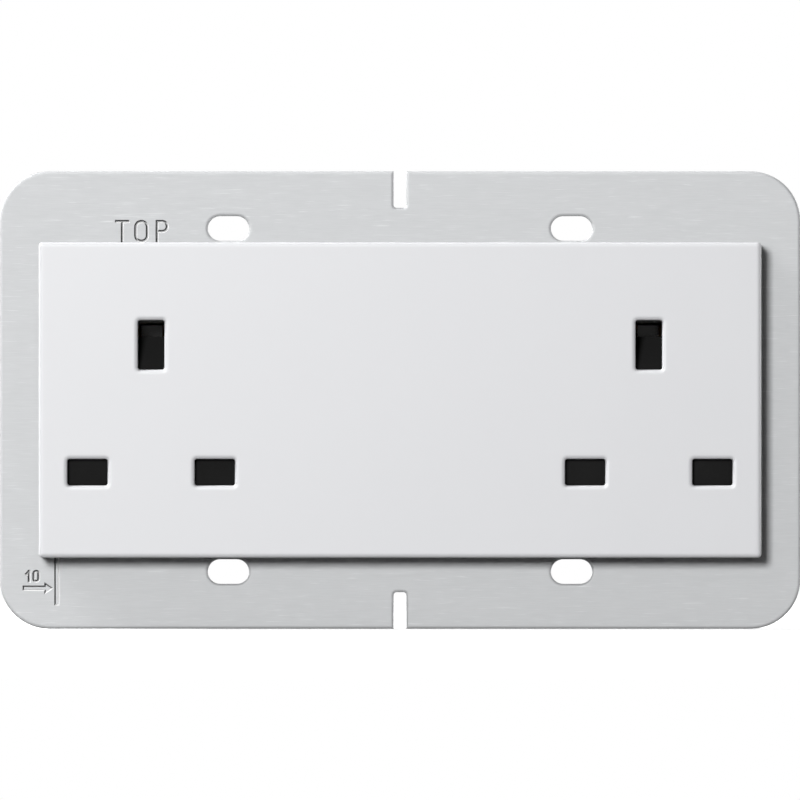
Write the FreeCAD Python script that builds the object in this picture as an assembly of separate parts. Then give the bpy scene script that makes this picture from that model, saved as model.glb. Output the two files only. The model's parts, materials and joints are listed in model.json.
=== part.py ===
# Twin 13 A wall socket on a brushed steel mounting plate, in millimetres.
# Seen from the room, +X is right and +Z is up. +Y points into the wall, so the front faces -Y.
# The origin is the middle of the four wall slots, on the back face of the mounting plate.
import FreeCAD, Part
import math
import os

Vector = FreeCAD.Vector

# Plug pins, from the standard pattern
PIN_SPREAD = 22.2  # neutral pin to line pin, centre to centre
PIN_RISE = 22.2  # earth pin above the other two
PIN_T = 4.0  # thickness that every contact clip grips
LINE_PIN_L = 17.7
EARTH_PIN_L = 22.7
EARTH_PIN_H = 8.0
SOCKET_PITCH = 86.8  # left socket to right socket
SOCKET_DROP = 1.5  # middle of the pin pattern below the middle of the plate

# Mounting plate
PLATE_T = 1.5
PLATE_MARGIN_X = 7.0  # plate seen beside the cover
PLATE_MARGIN_Z = 12.5  # plate seen above and below the cover
PLATE_CORNER_R = 8.7
PLATE_EDGE_R = 0.45
SLOT_PITCH_X = 60.0
SLOT_OFFSET = 2.5  # slot centre above or below the cover
SLOT_L = 7.2
SLOT_W = 4.3
NOTCH_W = 2.2
NOTCH_DEPTH = 6.4
NOTCH_CORNER_R = 0.5
WINDOW_GAP = 0.4  # around the housing where it passes through the plate
BOND_RIVET_R = 0.9
BOND_HEAD_R = 1.4
RIVET_HEAD_T = 0.7
RIVET_GAP = 0.03

# Marks engraved in the plate
MARK_DEPTH = 0.48
MARK_RIM = 0.15  # width of the shallow slope around a mark
MARK_RIM_DEPTH = 0.09
MARK_LEAN = 0.11  # how far a mark's wall leans in below its rim
LETTER_H = 4.0
LETTER_W = 2.6
T_TO_O = 3.35  # middle to middle
O_TO_P = 3.75
LETTER_STROKE = 0.56
LETTER_BOWL_H = 2.3
OVAL_FLAT = 0.03  # half of the straight left at an oval's top
LETTERS_INSET = 20.15  # left end of the word from the plate's left edge
SETTING_OUT = 10.0  # the line's distance from the plate's left edge
LINE_STROKE = 0.9
LINE_L = 8.0
ARROW_L = 5.4
ARROW_SHAFT = 0.95
ARROW_HEAD_L = 1.6
ARROW_HEAD_H = 2.25
ARROW_DROP = 5.4  # arrow below the cover
ARROW_GAP = 0.15  # arrow tip to the line
DIGIT_H = 2.25
DIGIT_W = 1.4
DIGIT_STROKE = 0.54
DIGIT_GAP = 0.55
DIGITS_DROP = 2.2  # top of the digits below the cover
DIGITS_INSET = 1.15  # middle of the 1 from the arrow's tail

# Front cover
COVER_PROUD = 9.0  # in front of the plate
COVER_WALL = 2.0
COVER_FRONT_T = 2.2
COVER_CORNER_R = 0.65
COVER_EDGE_R = 0.55  # every edge of the front face, around the pin holes too
COVER_RIM_ROOM = 5.4  # housing side to cover side, above and below
SOCKET_END_ROOM = 2.3  # shutter end to cover wall
LINE_HOLE_W = 7.0
LINE_HOLE_H = 4.6
EARTH_HOLE_W = 4.6
EARTH_HOLE_H = 8.6
HOLE_CORNER_R = 0.4
GUIDE_T = 1.2
BOSS_R = 2.4
BOSS_INSET_X = 4.3
BOSS_INSET_Z = 2.5

# Shutters and their springs
SHUTTER_T = 3.6
SHUTTER_GAP = 0.25
BLADE_LAP_X = 0.7
BLADE_LAP_Z = 0.5
OPEN_MARGIN = 0.55  # blade below the hole when fully open
STEM_W = 9.2
STEM_TOP_DROP = 2.6  # top of the stem below the earth pin
POCKET_W = 4.0
POCKET_WALL = 1.0
RAMP_W = 5.2
RAMP_LEAD = 0.4  # front of the ramp below the earth pin
RAMP_SLACK = 0.2
POST_W = 2.8
POST_H = 1.4
POST_GAP = 0.2
SPRING_R = 1.2
SPRING_WIRE_R = 0.18
SPRING_TURNS = 7

# Inner plate
INNER_PLATE_T = 1.8
RAMP_SLOT_GAP = 0.4
PEG_R = 1.2
PEG_L = 3.0
PEG_GAP = 0.05
PEG_ROOM = 2.0  # peg from the coring on its socket side

# Contact clips and busbars
CONTACT_T = 0.8
CONTACT_W = 6.0
CONTACT_SPREAD = 0.6  # clip clear of the pin at its root
CONTACT_MOUTH_GAP = 0.5
CONTACT_LEAD_L = 3.0
CONTACT_BOW_L = 4.0
GRIP_PRELOAD = 0.15
EARTH_CONTACT_H = 7.0
PIN_TIP_ROOM = 1.4
BUSBAR_T = 1.0
BUSBAR_H = 3.0
EARTH_BUSBAR_H = 4.0
JOGGLE_L = 6.0
JOGGLE_ROOM = 4.0  # start of the joggle from the earth terminal
TAB_W = 7.0
BOND_TAB_W = 5.0
BOND_TAB_END = 1.9
RIVET_R = 0.9
RIVET_HEAD_R = 1.4

# Rear housing
HOUSING_WALL = 1.4
HOUSING_CORNER_R = 1.5
HOUSING_EDGE_R = 0.8
TOWER_EDGE_R = 0.6
FLOOR_T = 1.8
WELL_GAP = 0.4
CHANNEL_RIB = 0.9
CHANNEL_GAP = 0.2
RIVET_PIT_R = 1.8
RIVET_PIT_DEPTH = 0.9
CORE_W = 10.0
EAR_T = 2.2
EAR_R = 3.4
EAR_OVERLAP = 2.0
POLE_MARK_H = 4.0
POLE_MARK_W = 2.6
POLE_MARK_STROKE = 0.5
POLE_MARK_DEPTH = 0.4
POLE_MARK_GAP = 2.6  # mark to terminal tower

# Terminals
TERMINAL_W = 8.0
TERMINAL_H = 9.0
TERMINAL_DEPTH = 9.4
TERMINAL_CHAMFER = 0.4
TERMINAL_SIDE_ROOM = 14.3  # terminal from the nearest socket contact
TERMINAL_SHIFT = 2.0  # towards the terminal's own busbar
EARTH_TERMINAL_PITCH = 12.0
WIRE_BORE_R = 2.1
WIRE_WALL = 1.7
WIRE_TROUGH_GAP = 0.7
WIRE_TROUGH_FLOOR = 0.4
SPIGOT_R = 1.5
SPIGOT_HEAD_R = 2.1
TERMINAL_SCREW_R = 1.75
TERMINAL_SCREW_L = 6.0
TERMINAL_SCREW_GAP = 0.05
TERMINAL_SCREW_STANDOFF = 0.2
TERMINAL_SLOT_W = 0.8
TERMINAL_SLOT_DEPTH = 1.2
CHAMBER_GAP = 0.4
TOWER_WALL = 1.6
TOWER_COVER = 0.5  # tower behind the open screw

# Housing screws
SCREW_R = 1.45
SCREW_L = 9.5
SCREW_HEAD_R = 2.7
SCREW_HEAD_T = 2.0
SCREW_GAP = 0.15
PILOT_GAP = 0.02
PILOT_SPARE = 0.5
CROSS_W = 0.8
CROSS_L = 3.0
CROSS_DEPTH = 1.2

# Pin pattern
SOCKET_X = SOCKET_PITCH / 2
SIDES = {"left": -1, "right": 1}
EARTH_Z = PIN_RISE / 2 - SOCKET_DROP
LINE_Z = -PIN_RISE / 2 - SOCKET_DROP
HALF_SPREAD = PIN_SPREAD / 2
NEUTRAL_X = {side: sign * SOCKET_X - HALF_SPREAD for side, sign in SIDES.items()}
LIVE_X = {side: sign * SOCKET_X + HALF_SPREAD for side, sign in SIDES.items()}

# Widths and heights, worked outwards from the pins
CONTACT_HALF = PIN_T / 2 + CONTACT_SPREAD + CONTACT_T
BLADE_HALF = HALF_SPREAD + LINE_HOLE_W / 2 + BLADE_LAP_X
WELL_HALF = CONTACT_HALF + WELL_GAP
RAIL_OFFSET = WELL_HALF + CHANNEL_RIB + CHANNEL_GAP + BUSBAR_H / 2
NEUTRAL_RAIL_Z = LINE_Z - RAIL_OFFSET
LIVE_RAIL_Z = LINE_Z + RAIL_OFFSET
CHANNEL_HALF = BUSBAR_H / 2 + CHANNEL_GAP
BODY_HALF_H = CHANNEL_HALF + HOUSING_WALL - NEUTRAL_RAIL_Z
BODY_HALF_W = SOCKET_X + HALF_SPREAD + CONTACT_W / 2 + WELL_GAP + HOUSING_WALL
WINDOW_HALF_W = BODY_HALF_W + WINDOW_GAP
WINDOW_HALF_H = BODY_HALF_H + WINDOW_GAP
COVER_HALF_W = SOCKET_X + BLADE_HALF + SOCKET_END_ROOM + COVER_WALL
COVER_HALF_H = BODY_HALF_H + COVER_RIM_ROOM
PLATE_HALF_W = COVER_HALF_W + PLATE_MARGIN_X
PLATE_HALF_H = COVER_HALF_H + PLATE_MARGIN_Z
SLOT_Z = COVER_HALF_H + SLOT_OFFSET
BOSS_X = COVER_HALF_W - BOSS_INSET_X
BOSS_Z = COVER_HALF_H - BOSS_INSET_Z

# Depths, from the front of the cover to the back of the housing
PLATE_FRONT_Y = -PLATE_T
COVER_FRONT_Y = PLATE_FRONT_Y - COVER_PROUD
COVER_INNER_Y = COVER_FRONT_Y + COVER_FRONT_T
SHUTTER_FRONT_Y = COVER_INNER_Y + SHUTTER_GAP
SHUTTER_BACK_Y = SHUTTER_FRONT_Y + SHUTTER_T
INNER_FRONT_Y = SHUTTER_BACK_Y + SHUTTER_GAP
INNER_BACK_Y = INNER_FRONT_Y + INNER_PLATE_T
MOUTH_Y = INNER_BACK_Y + CONTACT_MOUTH_GAP
LINE_WEB_Y = COVER_FRONT_Y + LINE_PIN_L + PIN_TIP_ROOM
EARTH_WEB_Y = COVER_FRONT_Y + EARTH_PIN_L + PIN_TIP_ROOM
RAIL_FRONT_Y = LINE_WEB_Y + CONTACT_T
RAIL_BACK_Y = RAIL_FRONT_Y + BUSBAR_T
EARTH_END_FRONT_Y = EARTH_WEB_Y + CONTACT_T
EARTH_END_BACK_Y = EARTH_END_FRONT_Y + BUSBAR_T
FLOOR_BACK_Y = RAIL_BACK_Y + FLOOR_T
RIDGE_BACK_Y = EARTH_END_BACK_Y + FLOOR_T
WIRE_Y = RAIL_BACK_Y + WIRE_WALL + WIRE_BORE_R
TERMINAL_BACK_Y = RAIL_BACK_Y + TERMINAL_DEPTH
SCREW_TIP_Y = WIRE_Y + WIRE_BORE_R + TERMINAL_SCREW_STANDOFF
SCREW_BACK_Y = SCREW_TIP_Y + TERMINAL_SCREW_L
TOWER_BACK_Y = SCREW_BACK_Y + TOWER_COVER
TROUGH_FLOOR_Y = WIRE_Y - WIRE_BORE_R - WIRE_TROUGH_FLOOR

# Shutter heights, at rest
EARTH_PIN_BOTTOM = EARTH_Z - EARTH_PIN_H / 2
BLADE_TOP = LINE_Z + LINE_HOLE_H / 2 + BLADE_LAP_Z
BLADE_BOTTOM = LINE_Z - LINE_HOLE_H / 2 - BLADE_LAP_Z
SHUTTER_TRAVEL = LINE_HOLE_H + BLADE_LAP_Z + OPEN_MARGIN
STEM_TOP = EARTH_PIN_BOTTOM - STEM_TOP_DROP
RAMP_TOP = EARTH_PIN_BOTTOM + SHUTTER_TRAVEL - RAMP_SLACK
POCKET_TOP = STEM_TOP - POCKET_WALL
POCKET_BOTTOM = BLADE_TOP + POCKET_WALL
POST_BOTTOM = POCKET_BOTTOM + POST_GAP
POST_TOP = POST_BOTTOM + POST_H
SPRING_Y = (SHUTTER_FRONT_Y + SHUTTER_BACK_Y) / 2

# Terminals: name, centre x, centre z and the side (down or up) where the wire comes in
LINE_TERMINAL_X = SOCKET_X - HALF_SPREAD - TERMINAL_SIDE_ROOM
EARTH_TERMINAL_X = EARTH_TERMINAL_PITCH / 2
TERMINALS = {
    "neutral_terminal": (-LINE_TERMINAL_X, LINE_Z - TERMINAL_SHIFT, -1),
    "line_terminal": (LINE_TERMINAL_X, LINE_Z + TERMINAL_SHIFT, -1),
    "earth_terminal_left": (-EARTH_TERMINAL_X, EARTH_Z, 1),
    "earth_terminal_right": (EARTH_TERMINAL_X, EARTH_Z, 1),
}
CHAMBER_HALF_W = TERMINAL_W / 2 + CHAMBER_GAP
CHAMBER_HALF_H = TERMINAL_H / 2 + CHAMBER_GAP
TROUGH_HALF_W = WIRE_BORE_R + WIRE_TROUGH_GAP
JOGGLE_IN_X = EARTH_TERMINAL_X + TERMINAL_W / 2 + JOGGLE_ROOM
JOGGLE_OUT_X = JOGGLE_IN_X + JOGGLE_L
RIDGE_IN_X = JOGGLE_IN_X - BUSBAR_T
EARTH_END_X = SOCKET_X + CONTACT_HALF
EARTH_CHANNEL_HALF = EARTH_BUSBAR_H / 2 + CHANNEL_GAP
EARTH_WELL_HALF_H = EARTH_CONTACT_H / 2 + WELL_GAP
BOND_RISE_Z = BODY_HALF_H - HOUSING_WALL - CHANNEL_GAP - BUSBAR_T / 2
BOND_RIVET_Z = (WINDOW_HALF_H + COVER_HALF_H - COVER_WALL) / 2
MARK_PROFILE = [(0, 0), (MARK_RIM, MARK_RIM_DEPTH), (MARK_RIM + MARK_LEAN, MARK_DEPTH)]


# Solids from simple outlines
def box(x0, x1, y0, y1, z0, z1):
    return Part.makeBox(x1 - x0, y1 - y0, z1 - z0, Vector(x0, y0, z0))


def centred_box(x, z, half_w, half_h, y0, y1):
    return box(x - half_w, x + half_w, y0, y1, z - half_h, z + half_h)


def rounded_box(half_w, half_h, y0, y1, radius):
    """A box about the Y axis whose four depth edges are rounded."""
    block = centred_box(0, 0, half_w, half_h, y0, y1)
    depth_edges = [edge for edge in block.Edges if abs(edge.tangentAt(edge.FirstParameter).y) > 0.5]
    return block.makeFillet(radius, depth_edges)


def rod_y(x, z, radius, y0, y1):
    return Part.makeCylinder(radius, y1 - y0, Vector(x, y0, z), Vector(0, 1, 0))


def rod_z(x, y, radius, z0, z1):
    return Part.makeCylinder(radius, z1 - z0, Vector(x, y, z0), Vector(0, 0, 1))


def prism(points, depth):
    """The closed outline through the points, swept along the depth vector."""
    return Part.Face(Part.makePolygon(points + points[:1])).extrude(depth)


def prism_x(outline_yz, x0, x1):
    return prism([Vector(x0, y, z) for y, z in outline_yz], Vector(x1 - x0, 0, 0))


def prism_y(outline_xz, y0, y1):
    return prism([Vector(x, y0, z) for x, z in outline_xz], Vector(0, y1 - y0, 0))


def prism_z(outline_xy, z0, z1):
    return prism([Vector(x, y, z0) for x, y in outline_xy], Vector(0, 0, z1 - z0))


def slot_y(x, z, half_l, half_w, y0, y1):
    """A straight slot along X with round ends."""
    middle = centred_box(x, z, half_l - half_w, half_w, y0, y1)
    ends = [rod_y(x + sign * (half_l - half_w), z, half_w, y0, y1) for sign in SIDES.values()]
    return join([middle] + ends)


def rounded_wire(x, z, half_w, half_h, radius, y):
    """A rectangle with round corners in the plane at depth y."""
    edges = []
    arcs = []
    for quarter, (sign_x, sign_z) in enumerate([(1, 1), (-1, 1), (-1, -1), (1, -1)]):
        centre = Vector(x + sign_x * (half_w - radius), y, z + sign_z * (half_h - radius))
        turns = [(quarter + share) * math.pi / 2 for share in (0, 0.5, 1)]
        arcs.append([centre + Vector(math.cos(a), 0, math.sin(a)) * radius for a in turns])
    for arc, following in zip(arcs, arcs[1:] + arcs[:1]):
        edges.append(Part.Arc(*arc).toShape())
        edges.append(Part.LineSegment(arc[2], following[0]).toShape())
    return Part.Wire(edges)


def folded_strip(centreline, thickness):
    """The outline of a bent strip: its centreline moved half a thickness each way, with mitred bends."""
    normals = []
    for (a0, b0), (a1, b1) in zip(centreline, centreline[1:]):
        length = math.hypot(a1 - a0, b1 - b0)
        normals.append(((b0 - b1) / length, (a1 - a0) / length))
    before = normals[:1] + normals
    after = normals + normals[-1:]
    one_side = []
    other_side = []
    for (a, b), (na, nb), (ma, mb) in zip(centreline, before, after):
        reach = thickness / 2 / (1 + na * ma + nb * mb)
        da = (na + ma) * reach
        db = (nb + mb) * reach
        one_side.append((a + da, b + db))
        other_side.append((a - da, b - db))
    return one_side + other_side[::-1]


def inset_outline(outline, inset):
    """An anticlockwise closed outline moved inwards by the inset, with mitred corners."""
    normals = []
    for (a0, b0), (a1, b1) in zip(outline, outline[1:] + outline[:1]):
        length = math.hypot(a1 - a0, b1 - b0)
        normals.append(((b0 - b1) / length, (a1 - a0) / length))
    moved = []
    for (a, b), (na, nb), (ma, mb) in zip(outline, normals[-1:] + normals[:-1], normals):
        reach = inset / (1 + na * ma + nb * mb)
        moved.append((a + (na + ma) * reach, b + (nb + mb) * reach))
    return moved


def join(solids):
    return solids[0].fuse(solids[1:]).removeSplitter()


def carve(solid, tools):
    return solid.cut(tools).removeSplitter()


def corners(x, z):
    return [(sign_x * x, sign_z * z) for sign_x in SIDES.values() for sign_z in SIDES.values()]


# Mounting plate
def sunk(outline):
    """An engraved hollow with a shallow rim and steep walls; the outline runs anticlockwise seen from the front."""
    wires = []
    for inset, depth in MARK_PROFILE:
        points = [Vector(x, PLATE_FRONT_Y + depth, z) for x, z in inset_outline(outline, inset)]
        wires.append(Part.makePolygon(points + points[:1]))
    return Part.makeLoft(wires, True, True)


def stroke(x0, z0, x1, z1, width):
    """One straight engraved stroke between two points, with square ends around them."""
    cap_x = (x1 - x0) / math.hypot(x1 - x0, z1 - z0) * width / 2
    cap_z = (z1 - z0) / math.hypot(x1 - x0, z1 - z0) * width / 2
    outline = folded_strip([(x0 - cap_x, z0 - cap_z), (x1 + cap_x, z1 + cap_z)], width)
    return sunk(outline[::-1])


def oval(x, z, width, height, thickness):
    """An engraved upright oval ring."""
    sides = []
    for start, sign in ((0, 1), (thickness, -1)):
        wires = []
        for inset, depth in MARK_PROFILE:
            half_w = width / 2 - start - sign * inset
            half_h = height / 2 - start - sign * inset
            wires.append(rounded_wire(x, z, half_w, half_h, half_w - OVAL_FLAT, PLATE_FRONT_Y + depth))
        sides.append(Part.makeLoft(wires, True, True))
    outer, core = sides
    return outer.cut(core)


def word_mark():
    """The word TOP, standing on the upper edge of the cover."""
    half_stroke = LETTER_STROKE / 2
    low = COVER_HALF_H
    high = COVER_HALF_H + LETTER_H - half_stroke
    t_left = LETTERS_INSET - PLATE_HALF_W
    t_middle = t_left + LETTER_W / 2
    o_middle = t_middle + T_TO_O
    p_left = o_middle + O_TO_P - LETTER_W / 2 + half_stroke
    bowl_half = LETTER_BOWL_H / 2
    bowl_z = high + half_stroke - bowl_half
    bowl_right = p_left + LETTER_W - LETTER_STROKE
    bowl = oval(bowl_right - bowl_half, bowl_z, 2 * bowl_half, 2 * bowl_half, LETTER_STROKE)
    right_half = box(bowl_right - bowl_half, bowl_right + LETTER_W, PLATE_FRONT_Y, 0, low, high + LETTER_H)
    bowl_low = bowl_z - bowl_half + half_stroke
    return [
        stroke(t_left + half_stroke, high, t_left + LETTER_W - half_stroke, high, LETTER_STROKE),
        stroke(t_middle, low, t_middle, high, LETTER_STROKE),
        oval(o_middle, low + LETTER_H / 2, LETTER_W, LETTER_H, LETTER_STROKE),
        stroke(p_left, low, p_left, high, LETTER_STROKE),
        stroke(p_left, high, bowl_right - bowl_half, high, LETTER_STROKE),
        stroke(p_left, bowl_low, bowl_right - bowl_half, bowl_low, LETTER_STROKE),
        bowl.common(right_half),
    ]


def setting_out_mark():
    """The number 10 over an arrow that points at a line 10 mm from the plate's edge."""
    line_x = SETTING_OUT - PLATE_HALF_W
    line_low = -COVER_HALF_H - LINE_L
    tip_x = line_x - LINE_STROKE / 2 - ARROW_GAP
    neck_x = tip_x - ARROW_HEAD_L
    tail_x = tip_x - ARROW_L
    arrow_z = -COVER_HALF_H - ARROW_DROP
    half_shaft = ARROW_SHAFT / 2
    half_head = ARROW_HEAD_H / 2
    arrow = [
        (tail_x, arrow_z - half_shaft),
        (neck_x, arrow_z - half_shaft),
        (neck_x, arrow_z - half_head),
        (tip_x, arrow_z),
        (neck_x, arrow_z + half_head),
        (neck_x, arrow_z + half_shaft),
        (tail_x, arrow_z + half_shaft),
    ]
    digits_top = -COVER_HALF_H - DIGITS_DROP
    one_x = tail_x + DIGITS_INSET
    one_top = digits_top - DIGIT_STROKE / 2
    one_low = digits_top - DIGIT_H + DIGIT_STROKE / 2
    zero_x = one_x + DIGIT_GAP + DIGIT_W / 2
    flag = DIGIT_H / 5
    return [
        stroke(line_x, -COVER_HALF_H + COVER_WALL, line_x, line_low, LINE_STROKE),
        sunk(arrow),
        stroke(one_x, one_top, one_x, one_low, DIGIT_STROKE),
        stroke(one_x, one_top, one_x - flag, one_top - flag, DIGIT_STROKE),
        oval(zero_x, digits_top - DIGIT_H / 2, DIGIT_W, DIGIT_H, DIGIT_STROKE),
    ]


def notch(sign):
    """One alignment notch, open at the plate's top or bottom edge."""
    inner_z = PLATE_HALF_H - NOTCH_DEPTH
    middle_z = sign * (inner_z + NOTCH_DEPTH)
    blank = rounded_wire(0, middle_z, NOTCH_W / 2, NOTCH_DEPTH, NOTCH_CORNER_R, PLATE_FRONT_Y)
    return Part.Face(blank).extrude(Vector(0, PLATE_T, 0))


def mounting_plate():
    """The stamped sheet: every edge that shows is rounded at the front, and the hidden holes are left sharp."""
    seen_cuts = [notch(sign) for sign in SIDES.values()]
    for x, z in corners(SLOT_PITCH_X / 2, SLOT_Z):
        seen_cuts.append(slot_y(x, z, SLOT_L / 2, SLOT_W / 2, PLATE_FRONT_Y, 0))
    sheet = rounded_box(PLATE_HALF_W, PLATE_HALF_H, PLATE_FRONT_Y, 0, PLATE_CORNER_R)
    sheet = carve(sheet, seen_cuts)
    front_edges = [e for e in sheet.Edges if e.BoundBox.YMax < PLATE_FRONT_Y + PLATE_T / 2]
    sheet = sheet.makeFillet(PLATE_EDGE_R, front_edges)
    window_corner = HOUSING_CORNER_R + WINDOW_GAP
    hidden_cuts = [rounded_box(WINDOW_HALF_W, WINDOW_HALF_H, PLATE_FRONT_Y, 0, window_corner)]
    for x, z in corners(BOSS_X, BOSS_Z):
        hidden_cuts.append(rod_y(x, z, SCREW_R + SCREW_GAP, PLATE_FRONT_Y, 0))
    hidden_cuts.append(rod_y(0, BOND_RIVET_Z, BOND_RIVET_R + RIVET_GAP, PLATE_FRONT_Y, 0))
    return carve(sheet, hidden_cuts + word_mark() + setting_out_mark())


# Front cover
def pin_hole(x, z, width, height):
    """A pin hole, from the cover's face to the front of the shutters."""
    outline = rounded_wire(x, z, width / 2, height / 2, HOLE_CORNER_R, COVER_FRONT_Y)
    return Part.Face(outline).extrude(Vector(0, SHUTTER_FRONT_Y - COVER_FRONT_Y, 0))


def pin_holes():
    holes = []
    for side, sign in SIDES.items():
        holes.append(pin_hole(sign * SOCKET_X, EARTH_Z, EARTH_HOLE_W, EARTH_HOLE_H))
        holes.append(pin_hole(NEUTRAL_X[side], LINE_Z, LINE_HOLE_W, LINE_HOLE_H))
        holes.append(pin_hole(LIVE_X[side], LINE_Z, LINE_HOLE_W, LINE_HOLE_H))
    return holes


def cover_guides():
    """Ribs that guide the shutters and press on the inner plate."""
    blade_guide_low = HOUSING_WALL - BODY_HALF_H
    blade_guide_high = BLADE_TOP + GUIDE_T
    stem_guide_low = BLADE_TOP + GUIDE_T
    ribs = []
    for socket_x in (-SOCKET_X, SOCKET_X):
        for sign in SIDES.values():
            blade_x = socket_x + sign * (BLADE_HALF + SHUTTER_GAP + GUIDE_T / 2)
            stem_x = socket_x + sign * (STEM_W / 2 + SHUTTER_GAP + GUIDE_T / 2)
            ribs.append((blade_x, blade_guide_low, blade_guide_high))
            ribs.append((stem_x, stem_guide_low, STEM_TOP))
    for sign in SIDES.values():
        ribs.append((sign * LINE_TERMINAL_X, LINE_Z, EARTH_Z))
    half_t = GUIDE_T / 2
    return [box(x - half_t, x + half_t, COVER_INNER_Y, INNER_FRONT_Y, low, high) for x, low, high in ribs]


def front_cover():
    """The moulded shell: face with rounded edges, hollow behind, with bosses for the housing screws."""
    block = rounded_box(COVER_HALF_W, COVER_HALF_H, COVER_FRONT_Y, PLATE_FRONT_Y, COVER_CORNER_R)
    block = carve(block, pin_holes())
    face_edges = [e for e in block.Edges if e.BoundBox.YMax < COVER_FRONT_Y + COVER_FRONT_T / 2]
    block = block.makeFillet(COVER_EDGE_R, face_edges)
    inner_w = COVER_HALF_W - COVER_WALL
    inner_h = COVER_HALF_H - COVER_WALL
    shell = carve(block, [centred_box(0, 0, inner_w, inner_h, COVER_INNER_Y, PLATE_FRONT_Y)])
    bosses = [rod_y(x, z, BOSS_R, COVER_INNER_Y, PLATE_FRONT_Y) for x, z in corners(BOSS_X, BOSS_Z)]
    shell = join([shell] + bosses + cover_guides())
    pilot_end_y = EAR_T - SCREW_L - PILOT_SPARE
    pilots = []
    for x, z in corners(BOSS_X, BOSS_Z):
        pilots.append(rod_y(x, z, SCREW_R + PILOT_GAP, pilot_end_y, PLATE_FRONT_Y))
    return carve(shell, pilots)


# Shutters
def shutter(x):
    """A bar across the two lower holes, a stem, and a ramp in the earth pin's way."""
    blade = box(x - BLADE_HALF, x + BLADE_HALF, SHUTTER_FRONT_Y, SHUTTER_BACK_Y, BLADE_BOTTOM, BLADE_TOP)
    half_stem = STEM_W / 2
    stem = box(x - half_stem, x + half_stem, SHUTTER_FRONT_Y, SHUTTER_BACK_Y, BLADE_BOTTOM, STEM_TOP)
    ramp_back_y = INNER_BACK_Y - SHUTTER_GAP
    ramp_front_z = EARTH_PIN_BOTTOM - RAMP_LEAD
    ramp = prism_x(
        [
            (SHUTTER_FRONT_Y, STEM_TOP - POCKET_WALL),
            (SHUTTER_FRONT_Y, ramp_front_z),
            (ramp_back_y, RAMP_TOP),
            (ramp_back_y, STEM_TOP - POCKET_WALL),
        ],
        x - RAMP_W / 2,
        x + RAMP_W / 2,
    )
    half_pocket = POCKET_W / 2
    pocket = box(
        x - half_pocket, x + half_pocket, SHUTTER_FRONT_Y, SHUTTER_BACK_Y, POCKET_BOTTOM, POCKET_TOP
    )
    return carve(join([blade, stem, ramp]), [pocket])


def shutter_spring(x):
    """A coil between the inner plate's post and the top of the shutter's pocket."""
    low = POST_TOP + SPRING_WIRE_R
    height = POCKET_TOP - SPRING_WIRE_R - low
    pitch = height / SPRING_TURNS
    path = Part.makeHelix(pitch, height, SPRING_R)
    rise = Vector(0, 2 * math.pi * SPRING_R, pitch)
    section = Part.Wire(Part.Circle(Vector(SPRING_R, 0, 0), rise, SPRING_WIRE_R).toShape())
    coil = Part.Wire(path.Edges).makePipeShell([section], True, True)
    coil.translate(Vector(x, SPRING_Y, low))
    return coil


def inner_plate():
    sheet = rounded_box(BODY_HALF_W, BODY_HALF_H, INNER_FRONT_Y, INNER_BACK_Y, HOUSING_CORNER_R)
    half_ramp = RAMP_W / 2 + RAMP_SLOT_GAP
    slot_low = STEM_TOP - POCKET_WALL - SHUTTER_TRAVEL - RAMP_SLOT_GAP
    slot_high = EARTH_Z + EARTH_HOLE_H / 2
    cuts = []
    adds = []
    for side, sign in SIDES.items():
        x = sign * SOCKET_X
        cuts.append(box(x - half_ramp, x + half_ramp, INNER_FRONT_Y, INNER_BACK_Y, slot_low, slot_high))
        for pin_x in (NEUTRAL_X[side], LIVE_X[side]):
            cuts.append(
                centred_box(pin_x, LINE_Z, LINE_HOLE_W / 2, LINE_HOLE_H / 2, INNER_FRONT_Y, INNER_BACK_Y)
            )
        post_front_y = SHUTTER_FRONT_Y
        adds.append(box(x - POST_W / 2, x + POST_W / 2, post_front_y, INNER_FRONT_Y, POST_BOTTOM, POST_TOP))
        adds.append(rod_y(sign * peg_x(), peg_z(), PEG_R, INNER_BACK_Y, INNER_BACK_Y + PEG_L))
    return join([carve(sheet, cuts)] + adds)


# Contact clips and busbars
def clip_half(web_y):
    """Half of a clip's centreline: mouth, grip, shoulder and root, as depth and distance from the pin's middle."""
    root = PIN_T / 2 + CONTACT_SPREAD + CONTACT_T / 2
    grip = PIN_T / 2 - GRIP_PRELOAD + CONTACT_T / 2
    grip_y = MOUTH_Y + CONTACT_LEAD_L
    return [(MOUTH_Y, root), (grip_y, grip), (grip_y + CONTACT_BOW_L, root), (web_y + CONTACT_T / 2, root)]


def clip_outline(web_y):
    half = clip_half(web_y)
    mirrored = [(y, -out) for y, out in half[::-1]]
    return folded_strip(half + mirrored, CONTACT_T)


def flat_contact(x, rail_z):
    """A clip for a line or neutral pin, with a tab along its busbar."""
    outline = [(y, LINE_Z + out) for y, out in clip_outline(LINE_WEB_Y)]
    clip = prism_x(outline, x - CONTACT_W / 2, x + CONTACT_W / 2)
    direction = 1 if rail_z > LINE_Z else -1
    far_z = rail_z + direction * BUSBAR_H / 2
    low, high = sorted((LINE_Z, far_z))
    tab = box(x - CONTACT_W / 2, x + CONTACT_W / 2, LINE_WEB_Y, RAIL_FRONT_Y, low, high)
    return carve(join([clip, tab]), [rod_y(x, rail_z, RIVET_R + RIVET_GAP, LINE_WEB_Y, RAIL_FRONT_Y)])


def earth_contact(x):
    """A clip for an earth pin, riveted through its root."""
    outline = [(x + out, y) for y, out in clip_outline(EARTH_WEB_Y)]
    clip = prism_z(outline, EARTH_Z - EARTH_CONTACT_H / 2, EARTH_Z + EARTH_CONTACT_H / 2)
    return carve(clip, [rod_y(x, EARTH_Z, RIVET_R + RIVET_GAP, EARTH_WEB_Y, EARTH_END_FRONT_Y)])


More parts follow.
